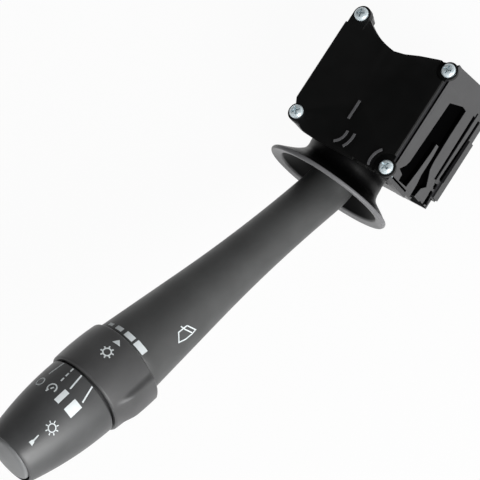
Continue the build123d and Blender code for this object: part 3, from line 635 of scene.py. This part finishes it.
def combine(obj, made, operation):
    """Cut a closed mesh out of an object, or join it to the object."""
    mesh = bpy.data.meshes.new("cutter")
    made.to_mesh(mesh)
    made.free()
    cutter = bpy.data.objects.new("cutter", mesh)
    bpy.context.scene.collection.objects.link(cutter)
    cut = obj.modifiers.new("cut", "BOOLEAN")
    cut.operation = operation
    cut.object = cutter
    bpy.context.view_layer.update()
    graph = bpy.context.evaluated_depsgraph_get()
    result = bpy.data.meshes.new_from_object(obj.evaluated_get(graph))
    obj.modifiers.remove(cut)
    bpy.data.objects.remove(cutter)
    obj.data = result


def cut_away(obj, low, high, place):
    """Cut a box between two corners, in the given frame, out of an object."""
    made = bmesh.new()
    bmesh.ops.create_cube(made, size=1)
    size = [b - a for a, b in zip(low, high)]
    middle = [(a + b) / 2 for a, b in zip(low, high)]
    for v in made.verts:
        local = Vector([m + c * s for m, c, s in zip(middle, v.co, size)])
        v.co = (place @ local) * MM
    combine(obj, made, "DIFFERENCE")


def side_prism(points, low, high):
    """Prism over an outline of (x, z) points on the slotted side, between two depths."""
    made = bmesh.new()
    inner, outer = [[made.verts.new((x * MM, y * MM, z * MM)) for x, z in points] for y in (low, high)]
    made.faces.new(inner)
    made.faces.new(outer[::-1])
    for n in range(len(points)):
        made.faces.new([inner[n - 1], inner[n], outer[n], outer[n - 1]])
    bmesh.ops.recalc_face_normals(made, faces=made.faces)
    return made


def dressed(name, node, material, body="housing"):
    """Piece that starts as a welded copy of a node of the frame and replaces it."""
    made = bmesh.new()
    made.from_mesh(nodes[node].data)
    made.transform(nodes[node].matrix_world)
    bmesh.ops.remove_doubles(made, verts=made.verts, dist=WELD_REACH)
    for face in made.faces:
        face.material_index = 0
    mesh = bpy.data.meshes.new(name)
    made.to_mesh(mesh)
    made.free()
    return add_object(name, mesh, material, body, [node])


# Case and rear cover: the slotted side with its wide groove, latch finger and gaps
GROOVE = [(-29.5, 33.2), (-32.7, 22.9), (-32.6, 19.1), (-21.9, 19.2), (-10.6, 18.7), (-7.5, 17.9)]
GROOVE += [(-4.4, 14.9), (-2.1, 12.9), (-0.2, 16.0), (4.4, 17.2), (5.1, 20.2), (-0.2, 20.6)]
GROOVE += [(-3.5, 21.6), (-11.7, 21.7), (-15.7, 22.3), (-15.6, 24.5), (-11.3, 24.6), (-4.6, 25.3)]
GROOVE += [(3.7, 26.6), (4.2, 34.2), (1.8, 34.5), (1.0, 38.6), (-1.6, 35.6), (-3.7, 34.7)]
SLAB = [(-34, 9.4), (2.4, 9.4), (2.4, 18), (5.9, 18.5), (5.9, 41), (-34, 41)]
FAR_WEDGE = [(-40.9, 40), (-41.25, 40), (-43.3, 20), (-43.3, 9), (-40.9, 9)]
CORNER_SLIT = [(4.7, 40.5), (5.5, 40.5), (5.3, 25), (4.5, 25)]
UPPER_GAP = [(-34, 9.3), (-34, 12.0), (-6.4, 11.3), (-7.0, 8.2)]
STRIP_FACE = [(-60, -1), (-60, 6), (20, 6), (20, -1)]
LOWER_GAP = [(-34.5, 3.8), (-34.3, 5.9), (-7.7, 6.3), (-8.0, 3.9)]
DOT = [(-6.3, 5.5), (-5.8, 8.3), (-3.8, 7.2), (-4.0, 5.2)]
LOW_CORNER = [(-0.9, -1), (-0.9, 4.5), (12, 4.5), (12, -1)]
SHORT_BAR = [(-2.8, 5.5), (-2.6, 8.1), (2.8, 7.1), (2.3, 4.4)]
case = dressed("switch_case", "housing_case", "case")
rear = dressed("rear_tray", "rear_cover", "rear")
for piece, shape, low, high, operation in (
    (case, SLAB, 24.6, 27.22, "UNION"),
    (case, FAR_WEDGE, 23, 27.2, "UNION"),
    (case, CORNER_SLIT, 25.3, 29, "DIFFERENCE"),
    (case, GROOVE, 25.3, 29, "DIFFERENCE"),
    (case, UPPER_GAP, 25.4, 29, "DIFFERENCE"),
    (rear, STRIP_FACE, 27.65, 30, "DIFFERENCE"),
    (rear, LOWER_GAP, 25.6, 29, "DIFFERENCE"),
    (rear, DOT, 25.6, 29, "DIFFERENCE"),
    (rear, LOW_CORNER, 25.35, 30, "DIFFERENCE"),
    (rear, SHORT_BAR, 25.6, 29, "DIFFERENCE"),
):
    combine(piece, side_prism(shape, low, high), operation)
for piece in (case, rear):
    smooth_by_angle(piece)


# Bell shroud
def bell():
    """Outline of the bell, ball neck and dished flange."""
    flange = FLANGE_RADIUS - 0.1
    inner = BALL_RADIUS - BALL_WALL
    hub = NECK_RADIUS + 0.2
    room = BALL_RADIUS - hub
    rim = (flange - 0.7, 16.0)
    dish_edge = (flange - 4.6, 16.4)
    dish_base = (hub + room * 0.74, 10.6)
    neck = [on_ball(BALL_RADIUS, a) for a in (84, 76)] + [(BALL_RADIUS - 0.1, 6.4), (BALL_RADIUS + 0.3, 8.9)]
    neck += [(BALL_RADIUS + 1.2, 10.8), (BALL_RADIUS + 3.1, 12.4), (BALL_RADIUS + 5.1, 13.8)]
    neck += [(flange - 2.1, 15.2), (flange - 1.1, 15.8)]
    points = through(*[on_ball(BALL_RADIUS, a) for a in (100, 92, 84)], 8)
    points += flow(neck, 5)[1:]
    points += [rim]
    points += through(rim, (flange, 16.9), (flange - 0.6, 17.8), 8)[1:]
    points += [(flange - 2.8, 17.35), (flange - 4.0, 17.2), dish_edge]
    points += through(dish_edge, (BALL_RADIUS + 1.4, 13.2), dish_base, 12)[1:]
    points += [(hub + room * 0.57, 9.2), (hub + room * 0.26, 9.0), (hub + room * 0.2, 13.0)]
    points += [(hub + FIT_GAP, 13.0), (hub + FIT_GAP, 7.6)]
    points += through(*[on_ball(inner, a) for a in (58, 79, 100)], 10)
    return points


def bell_share(h):
    """Share of the neck's offset at a height."""
    return ease((h - 4.5) / 6.5) * (1 - ease((h - 12) / 4))


def bell_lean(h):
    """Frame at a height of the bell: the neck sits a little to one side, the flange turns."""
    share = bell_share(h)
    turn = BELL_TURN * ease((h - 10.5) / 4.5)
    place = Matrix.Translation((BELL_SWAY[0] * share, BELL_SWAY[1] * share, h))
    return place @ Matrix.Rotation(radians(turn), 4, "X")


def bell_trim(angle, r, h):
    """Smaller radius of the neck, so that its near side keeps its place."""
    return -hypot(*BELL_SWAY) * bell_share(h) if r > 13 else 0


outline = softened(bell(), 0.35)
shroud = add_object(
    "bell_shroud",
    finish_mesh(skin(turned_rings(outline, ROOT_FRAME, bell_trim, bell_lean)), "bell_skin"),
    "bell", "lever", ["shroud_bell"],
)
# Room in the mouth of the case for the neck where the lever is both turned and pulled
across = Vector((0, 0, 1)).cross(heading(0))
far_place = Matrix.Translation(PIVOT) @ Matrix.Rotation(radians(LIFT_LIMIT), 4, "Z")
far_place = far_place @ Matrix.Rotation(radians(-PULL_LIMIT), 4, across)
far_place = far_place @ Matrix.Translation(-PIVOT) @ ROOT_FRAME
room = [(0, -4), (BALL_RADIUS + 0.3, -4), (BALL_RADIUS + 0.3, 6.4), (BALL_RADIUS + 0.7, 8.9)]
room += [(BALL_RADIUS + 1.2, 10.0), (0, 10.0)]
combine(case, skin(turned_rings(room, far_place), False), "DIFFERENCE")

# Slots in the ball for the journals
SLOT_HALF = JOURNAL + 0.6
SLOT_END = JOURNAL + 3.6
CORE_TALL = 5.5
for side in (1, -1):
    x0, x1 = sorted((side * CORE_TALL, side * 2 * BALL_RADIUS))
    cut_away(shroud, (x0, -SLOT_HALF, -BALL_RADIUS), (x1, SLOT_HALF, SLOT_END), ROOT_FRAME)


# Cover screws: domed heads with a cross recess
SCREWS = [((-41.5, -16.6), 45.0), ((1.4, -17.2), 45.0), ((3.8, 25.3), 43.7), ((-37.3, 25.4), 43.7)]
SCREW_HEAD = 2.65
SCREW_RISE = 1.9
for n, ((x, y), seat) in enumerate(SCREWS):
    place = Matrix.Translation((x, y, seat)) @ Matrix.Rotation(radians(20 + n * 25), 4, "Z")
    edge = (SCREW_HEAD, 0.75)
    profile = [(0, -6.0), (1.45, -6.0), (1.45, 0), (SCREW_HEAD - 0.15, 0), (SCREW_HEAD, 0.15), edge]
    profile += through(edge, (SCREW_HEAD - 0.75, 1.52), (0.9, SCREW_RISE - 0.03), 8)[1:]
    profile += [(0, SCREW_RISE)]
    head = add_object(
        f"screw_{n}",
        finish_mesh(skin(turned_rings(profile, place), False), f"screw_{n}_skin", 60),
        "zinc", "housing", ["cover_screws"],
    )
    for half_x, half_y in ((1.6, 0.38), (0.38, 1.6)):
        cut_away(head, (-half_x, -half_y, SCREW_RISE - 1.0), (half_x, half_y, SCREW_RISE + 1), place)


# Delay ring with its thumb grip
def grip_swell(angle, r, h):
    """Extra radius of the thumb grip over the ring's outer skin."""
    if r < RING_RADIUS - 1.25:
        return 0
    off = abs((angle - radians(GRIP_MIDDLE) + pi) % (2 * pi) - pi)
    side = ease((radians(GRIP_SPREAD / 2 + 1.0) - off) / radians(8.0))
    up = h - RING_START
    length = RING_LENGTH - 1.2
    rise = min(ease(up / 1.0), 1)
    fall_off = 1 - 0.2 * min(up / 10, 1) - 0.8 * ease((up - 10) / (length - 10)) if up > 0 else 1
    return GRIP_RISE * side * rise * max(fall_off, 0)


def ring_outline():
    """Closed outline of the delay ring."""
    cavity = SPINDLE_RADIUS + 1.6
    back = (RING_RADIUS - 0.5, RING_START + 0.5)
    front = (RING_RADIUS - 0.3, RING_END - 0.6)
    points = [(RING_RADIUS - 1.2, RING_START)]
    points += through(back, (RING_RADIUS, RING_START + RING_LENGTH * 0.55), front, 24)
    points += [(RING_RADIUS - 0.8, RING_END), (RING_RADIUS - SHELL, RING_END)]
    points += [(RING_RADIUS - SHELL, RING_START + 4), (cavity, RING_START + 4), (cavity, RING_END)]
    points += [(SPINDLE_RADIUS + RUNNING_GAP, RING_END), (SPINDLE_RADIUS + RUNNING_GAP, RING_START)]
    return points


add_object(
    "turning_ring",
    finish_mesh(skin(turned_rings(softened(ring_outline(), 0.2), STALK_FRAME, grip_swell)), "ring_skin"),
    "ring", "ring", ["delay_ring"],
)


# End knob and its button
def knob_outline():
    """Closed outline of the hollow end knob."""
    fall = KNOB_RADIUS - TIP_RADIUS
    lip = 9.85
    back = (KNOB_RADIUS - 0.3, KNOB_START + 0.5)
    middle = (KNOB_RADIUS - fall * 0.36, KNOB_START + KNOB_LENGTH * 0.55)
    front = (TIP_RADIUS, KNOB_START + KNOB_LENGTH * 0.97)
    inside_back = (KNOB_RADIUS - SHELL - 0.4, KNOB_START + 2.4)
    inside_middle = (KNOB_RADIUS - fall * 0.33 - SHELL, KNOB_START + KNOB_LENGTH * 0.5)
    inside_front = (lip + 0.4, KNOB_END - 4.4)
    hub = TAIL_RADIUS + 2.2
    hub_end = KNOB_START + 17.0 - 0.15
    points = [(KNOB_RADIUS - 0.9, KNOB_START)]
    points += through(back, middle, front, 28)
    points += [(TIP_RADIUS - 0.5, KNOB_END), (lip, KNOB_END), (lip, KNOB_END - 3.6)]
    points += through(inside_front, inside_middle, inside_back, 12)
    points += [(hub, KNOB_START + 2.4), (hub, hub_end)]
    points += [(TAIL_RADIUS + RUNNING_GAP, hub_end), (TAIL_RADIUS + RUNNING_GAP, KNOB_START)]
    return points


add_object(
    "turning_knob",
    finish_mesh(skin(turned_rings(softened(knob_outline(), 0.22), STALK_FRAME)), "knob_skin"),
    "knob", "knob", ["end_knob"],
)


# Push button: a shallow dome that stands back from the knob's lip
def button_outline():
    """Closed outline of the button with its skirt and stem, from the axis out."""
    face = KNOB_END + 1.4
    board = SPINDLE_END - 12
    skirt = SPINDLE_END + BUTTON_TRAVEL + 0.4
    under = face - 2.5
    stem = 2.5
    wall = SPINDLE_END - 2
    edge = (BUTTON_RADIUS - 1.5, face - 0.75)
    points = through((0.0, face), (edge[0] * 0.6, face - 0.3), edge, 10)
    points += through(edge, (BUTTON_RADIUS - 0.7, face - 1.25), (BUTTON_RADIUS - 0.45, face - 2.1), 6)[1:]
    points += [(BUTTON_RADIUS - 0.45, KNOB_END - 1.6), (BUTTON_RADIUS, KNOB_END - 2.1)]
    points += [(BUTTON_RADIUS, skirt), (BUTTON_RADIUS - 1.4, skirt), (BUTTON_RADIUS - 1.4, under)]
    points += [(stem, under), (stem, wall - 0.1), (stem + 0.6, wall - 0.1), (stem + 0.6, wall - 1.2)]
    points += [(stem, wall - 1.8), (stem, board + 5.6), (0, board + 5.6)]
    return points


add_object(
    "push_button",
    finish_mesh(skin(turned_rings(button_outline(), STALK_FRAME), False), "button_skin"),
    "button", "button", ["end_button"],
)

# Return spring of the button: a copy of the frame's spring that rides on the lever
coil = dressed("return_coil", "button_spring", "steel", "lever")
seat = ELBOW + heading(STALK_RAISE) * SPINDLE_END
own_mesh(coil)


# Printed marks: raised ink wrapped on the turned surfaces
INK = 0.045
SUNK = 0.12
CELL = 0.45


def ring_radius(station):
    """Outer radius of the ring where it has no grip."""
    return RING_RADIUS - 0.02 - 0.0035 * (station - (RING_START + 10.6)) ** 2


def knob_radius(station):
    """Outer radius of the knob, from its outline."""
    points = knob_outline()[1:30]
    for (r0, h0), (r1, h1) in zip(points, points[1:]):
        if h0 <= station <= h1:
            return r0 + (r1 - r0) * (station - h0) / (h1 - h0)
    return TIP_RADIUS


def ink_strip(made, sides, radius_at):
    """Closed patch of ink between pairs of (station, angle) points."""
    rows = []
    for (a0, b0), (a1, b1) in zip(sides, sides[1:]):
        long_edge = max(hypot(a1[0] - a0[0], a1[1] - a0[1]), hypot(b1[0] - b0[0], b1[1] - b0[1]))
        steps = max(1, ceil(long_edge / CELL))
        for k in range(steps):
            t = k / steps
            edges = ((a0, a1), (b0, b1))
            rows.append([[p + (q - p) * t for p, q in zip(start, end)] for start, end in edges])
    rows.append((list(sides[-1][0]), list(sides[-1][1])))
    width = max(hypot(b[0] - a[0], b[1] - a[1]) for a, b in rows)
    across = max(1, ceil(width / CELL))
    levels = []
    for lift in (INK, -SUNK):
        level = []
        for a, b in rows:
            line = []
            for k in range(across + 1):
                t = k / across
                s, arc = a[0] + (b[0] - a[0]) * t, a[1] + (b[1] - a[1]) * t
                r = radius_at(s)
                angle = arc / r
                point = Vector(((r + lift) * cos(angle), (r + lift) * sin(angle), s))
                line.append(made.verts.new((STALK_FRAME @ point) * MM))
            level.append(line)
        levels.append(level)
    top, low = levels
    for i in range(len(rows) - 1):
        for k in range(across):
            made.faces.new([top[i][k], top[i + 1][k], top[i + 1][k + 1], top[i][k + 1]])
            made.faces.new([low[i][k], low[i][k + 1], low[i + 1][k + 1], low[i + 1][k]])
        for k in (0, across):
            made.faces.new([top[i][k], low[i][k], low[i + 1][k], top[i + 1][k]])
    for i in (0, -1):
        for k in range(across):
            made.faces.new([top[i][k], top[i][k + 1], low[i][k + 1], low[i][k]])


def line_sides(points, width):
    """Left and right edges of a line of the given width, mitred at its bends."""
    widths = width if isinstance(width, (list, tuple)) else [width] * len(points)
    made = []
    for n, (p, w) in enumerate(zip(points, widths)):
        here = Vector(p)
        back = here - Vector(points[n - 1]) if n else None
        ahead = Vector(points[n + 1]) - here if n < len(points) - 1 else None
        one = (back or ahead).normalized()
        two = (ahead or back).normalized()
        across = Vector((-(one.y + two.y), one.x + two.x)).normalized()
        share = max(across.dot(Vector((-one.y, one.x))), 0.5)
        half = across * (w / 2 / share)
        made.append((tuple(here + half), tuple(here - half)))
    return made


def mark(name, body, radius_at, station, angle, lines, turn=0.0):
    """Ink lines about a place on the stalk; each is (points, width) in millimetres."""
    made = bmesh.new()
    middle = radians(angle) * radius_at(station)
    for points, width in lines:
        placed = []
        for x, y in points:
            a = x * cos(radians(turn)) - y * sin(radians(turn))
            b = x * sin(radians(turn)) + y * cos(radians(turn))
            placed.append((station + a, middle + b))
        ink_strip(made, line_sides(placed, width), radius_at)
    add_object(name, finish_mesh(made, name + "_ink", 60), "print", body)


def bar(length, width):
    """A straight mark along the stalk."""
    return [([(-length / 2, 0), (length / 2, 0)], width)]


def circle(x, y, radius, count=14, start=0.0, sweep=360.0):
    """Points round a circle."""
    turns = [radians(start + sweep * n / count) for n in range(count + 1)]
    return [(x + radius * cos(t), y + radius * sin(t)) for t in turns]


# Bars on the lever that grow towards the longer delay
for n, (angle, arc) in enumerate([(26.0, 2.4), (7.4, 3.0), (-13.0, 3.9), (-34.7, 4.9)]):
    mark(f"delay_bar_{n}", "lever", lever_radius, 102.1, angle, bar(1.3 + 0.45 * n, arc))

# Tick lines and position signs on the knob
ticks = [(22, 26), (2.7, 0.9), (-12.7, -16.3), (-32.8, -40.2)]
for n, (first, last) in enumerate(ticks):
    made_lines = []
    cuts = [(0, 1)] if n != 1 else [(0, 0.24), (0.38, 0.62), (0.76, 1)]
    middle = (first + last) / 2
    for a, b in cuts:
        ends = []
        for t in (a, b):
            s = -3.1 + 6.2 * t
            ends.append((s, radians(first + (last - first) * t - middle) * 14.8))
        made_lines.append((ends, 0.55))
    mark(f"knob_tick_{n}", "knob", knob_radius, 127.8, middle, made_lines)
mark("knob_off_sign", "knob", knob_radius, 134.8, 27.4, [(circle(0, 0, 1.6), 0.5)])
delay_lines = [(circle(0, 0, 1.7, 12, 30, 260), 0.5), ([(1.0, 0.6), (2.1, 0.9)], 0.5)]
delay_lines.append(([(-0.6, -0.4), (0.5, 0.3)], 0.5))
mark("knob_delay_sign", "knob", knob_radius, 134.8, 2.3, delay_lines)
mark("knob_slow_sign", "knob", knob_radius, 134.8, -16.4, bar(5.2, 2.1))
mark("knob_fast_sign", "knob", knob_radius, 134.7, -38.2, bar(5.2, 3.8))


def sprayed_lines(radius, rays, width, gap=0.35, length=0.75):
    """Round outline with short rays about it."""
    lines = [(circle(0, 0, radius, 16), width)]
    for n in range(rays):
        turn = 2 * pi * (n + 0.5) / rays
        ends = [(r * cos(turn), r * sin(turn)) for r in (radius + gap, radius + gap + length)]
        lines.append((ends, width))
    return lines


def screen_lines(width):
    """Windscreen outline with a wiper across it."""
    rim = [(-2.33, 2.12), (-4.6, -1.33), (-2.58, -1.81), (0.59, -1.89), (3.72, -1.16)]
    rim += [(1.94, 2.02), (-0.52, 2.1), (-2.33, 2.12)]
    arm = [(-0.1, 3.3), (-0.91, 1.41), (-2.78, -1.41)]
    return [(rim, width), (arm, width)]


mark("wash_sign", "knob", knob_radius, 144.3, -40.6, sprayed_lines(1.35, 8, 0.36, 0.3, 0.8))
wedge = [([(1.5, 0), (0.3, 0), (0.0, 0), (-2.4, 0)], [1.7, 1.2, 0.6, 0.4])]
mark("wash_arrow", "knob", knob_radius, 151.6, -37.6, wedge)
mark("ring_sign", "ring", ring_radius, 112.7, -12.2, sprayed_lines(1.45, 8, 0.5, 0.22, 0.75))
pointer = [([(-1.1, 0), (0.9, -0.3)], [0.05, 3.2])]
mark("ring_pointer", "ring", ring_radius, 107.4, -10.6, pointer)
mark("wiper_sign", "lever", lever_radius, 85.05, -65.3, screen_lines(0.45))


# Floor, lights and camera
def floor():
    """Pale floor that stays white behind the object and keeps its shadow."""
    made = bmesh.new()
    size = 3.0
    level = cad_low.z - 0.0006
    corners = [(-size, -size), (size, -size), (size, size), (-size, size)]
    made.faces.new([made.verts.new((x, y, level)) for x, y in corners])
    mesh = bpy.data.meshes.new("floor")
    made.to_mesh(mesh)
    made.free()
    obj = bpy.data.objects.new("floor", mesh)
    bpy.context.scene.collection.objects.link(obj)
    material, tree, shader = new_material("floor_paint")
    shader.inputs["Roughness"].default_value = 0.9
    shader.inputs["Specular IOR Level"].default_value = 0.1
    tone = ramp(tree, noise(tree, 3, 3), [(0.3, (0.88, 0.88, 0.88)), (0.7, (0.9, 0.9, 0.9))])
    tree.links.new(tone, shader.inputs["Base Color"])
    glow = tree.nodes.new("ShaderNodeEmission")
    glow.inputs["Strength"].default_value = 1.0
    rays = tree.nodes.new("ShaderNodeLightPath")
    seen = tree.nodes.new("ShaderNodeMath")
    seen.operation = "MAXIMUM"
    tree.links.new(rays.outputs["Is Camera Ray"], seen.inputs[0])
    tree.links.new(rays.outputs["Is Glossy Ray"], seen.inputs[1])
    passing = tree.nodes.new("ShaderNodeMath")
    passing.operation = "MAXIMUM"
    tree.links.new(seen.outputs[0], passing.inputs[0])
    tree.links.new(rays.outputs["Is Transmission Ray"], passing.inputs[1])
    share = tree.nodes.new("ShaderNodeMath")
    share.operation = "MULTIPLY"
    share.inputs[1].default_value = 0.95
    tree.links.new(passing.outputs[0], share.inputs[0])
    mix = tree.nodes.new("ShaderNodeMixShader")
    tree.links.new(share.outputs[0], mix.inputs["Fac"])
    tree.links.new(shader.outputs["BSDF"], mix.inputs[1])
    tree.links.new(glow.outputs["Emission"], mix.inputs[2])
    tree.links.new(mix.outputs["Shader"], tree.nodes["Material Output"].inputs["Surface"])
    paint(obj, material)
    obj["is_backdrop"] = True


def world():
    """Dim surround that is bright near the horizon."""
    made = bpy.data.worlds.new("studio")
    bpy.context.scene.world = made
    made.use_nodes = True
    tree = made.node_tree
    back = tree.nodes["Background"]
    back.inputs["Color"].default_value = (1, 1, 1, 1)
    place = tree.nodes.new("ShaderNodeTexCoord")
    split = tree.nodes.new("ShaderNodeSeparateXYZ")
    tree.links.new(place.outputs["Generated"], split.inputs["Vector"])
    height = tree.nodes.new("ShaderNodeMapRange")
    height.interpolation_type = "SMOOTHSTEP"
    height.inputs["From Min"].default_value = 0.25
    height.inputs["From Max"].default_value = 0.75
    height.inputs["To Min"].default_value = 0.55
    height.inputs["To Max"].default_value = 0.06
    tree.links.new(split.outputs["Z"], height.inputs["Value"])
    tree.links.new(height.outputs["Result"], back.inputs["Strength"])


def lamp(name, at, toward, size, power):
    """Soft square lamp aimed at a point."""
    data = bpy.data.lights.new(name, "AREA")
    data.shape = "DISK"
    data.size = size
    data.energy = power
    obj = bpy.data.objects.new(name, data)
    bpy.context.scene.collection.objects.link(obj)
    obj.location = at
    obj.rotation_euler = (Vector(toward) - Vector(at)).to_track_quat("-Z", "Y").to_euler()


def camera():
    """Camera at the photograph's viewing angle."""
    data = bpy.data.cameras.new("camera")
    data.sensor_fit = "HORIZONTAL"
    data.sensor_width = SENSOR
    data.lens = CAMERA_LENS
    data.clip_start = 0.01
    obj = bpy.data.objects.new("camera", data)
    bpy.context.scene.collection.objects.link(obj)
    back = CAMERA_RIGHT.cross(CAMERA_UP)
    place = Matrix((CAMERA_RIGHT, CAMERA_UP, back)).transposed().to_4x4()
    place.translation = CAMERA_AT
    obj.matrix_world = place
    bpy.context.scene.camera = obj


floor()
world()
lamp("key_lamp", (0.30, 0.80, 0.50), (0.05, 0, 0.03), 0.5, 8.0)
lamp("side_lamp", (0.35, 0.85, 0.06), (0.05, 0, 0.03), 0.6, 7.0)
lamp("top_lamp", (0.5, -0.3, 0.8), (0.05, 0, 0.03), 0.5, 0.3)
camera()
bpy.context.scene.view_settings.view_transform = "Standard"

low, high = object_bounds()
